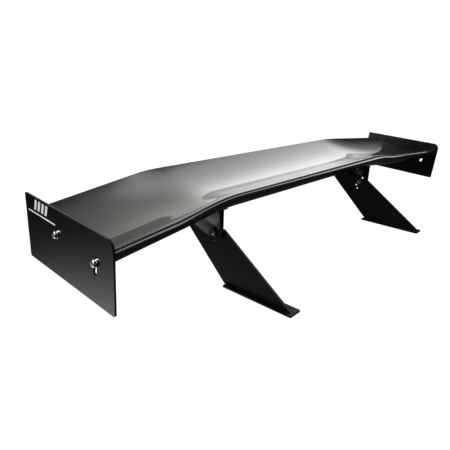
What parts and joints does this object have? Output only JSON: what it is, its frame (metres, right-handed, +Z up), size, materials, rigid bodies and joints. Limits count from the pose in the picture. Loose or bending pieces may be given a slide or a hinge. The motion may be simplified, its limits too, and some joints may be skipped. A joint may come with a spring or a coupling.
{
  "type": "racing rear wing",
  "caption": "Adjustable carbon fibre rear wing on swept uprights, with T brackets that set its angle and flat end plates that tilt on their rear bolts.",
  "frame": {"origin": "under the middle of the wing, level with the undersides of the feet", "axes": "-Y towards the front of the car, +X towards its left side, +Z up"},
  "size_m": [1.5536, 0.4325, 0.2705],
  "materials": {
    "carbon": "clear-coated carbon fibre twill",
    "black_plate": "black satin coating",
    "black_upright": "black satin anodised",
    "aluminium": "bare machined",
    "stainless": "polished stainless steel"
  },
  "bodies": {
    "pedestals": {"clamp_bolt_left": "stainless", "clamp_bolt_right": "stainless", "clamp_nut_left": "stainless", "clamp_nut_right": "stainless", "clamp_washer_inner_left": "stainless", "clamp_washer_inner_right": "stainless", "clamp_washer_outer_left": "stainless", "clamp_washer_outer_right": "stainless", "foot_left": "black_upright", "foot_right": "black_upright", "pivot_bolt_left": "stainless", "pivot_bolt_right": "stainless", "pivot_nut_left": "stainless", "pivot_nut_right": "stainless", "pivot_washer_inner_left": "stainless", "pivot_washer_inner_right": "stainless", "pivot_washer_outer_left": "stainless", "pivot_washer_outer_right": "stainless", "upright_left": "black_upright", "upright_right": "black_upright"},
    "wing": {"bracket_left": "black_upright", "bracket_right": "black_upright", "end_rib_left": "aluminium", "end_rib_right": "aluminium", "flange_screw_front_inner_left": "stainless", "flange_screw_front_inner_right": "stainless", "flange_screw_front_outer_left": "stainless", "flange_screw_front_outer_right": "stainless", "flange_screw_rear_inner_left": "stainless", "flange_screw_rear_inner_right": "stainless", "flange_screw_rear_outer_left": "stainless", "flange_screw_rear_outer_right": "stainless", "front_spar": "carbon", "insert_front_left": "aluminium", "insert_front_right": "aluminium", "insert_rear_left": "aluminium", "insert_rear_right": "aluminium", "lower_skin": "carbon", "mount_block_left": "aluminium", "mount_block_right": "aluminium", "plate_bolt_front_left": "stainless", "plate_bolt_front_right": "stainless", "plate_bolt_rear_left": "stainless", "plate_bolt_rear_right": "stainless", "plate_washer_front_left": "stainless", "plate_washer_front_right": "stainless", "plate_washer_rear_left": "stainless", "plate_washer_rear_right": "stainless", "rear_spar": "carbon", "upper_skin": "carbon"},
    "end_plate_left": {"end_plate_left": "black_plate"},
    "end_plate_right": {"end_plate_right": "black_plate"}
  },
  "joints": [
    {"name": "wing_angle", "type": "hinge", "parent": "pedestals", "child": "wing", "pos_m": [0, 0.1445, 0.1735], "axis": [1, 0, 0], "range_deg": [0, 7]},
    {"name": "left_end_plate_tilt", "type": "hinge", "parent": "wing", "child": "end_plate_left", "pos_m": [0.768, 0.06782, 0.21383], "axis": [-1, 0, 0], "range_deg": [0, 9]},
    {"name": "right_end_plate_tilt", "type": "hinge", "parent": "wing", "child": "end_plate_right", "pos_m": [-0.768, 0.06782, 0.21383], "axis": [-1, 0, 0], "range_deg": [0, 9]}
  ]
}
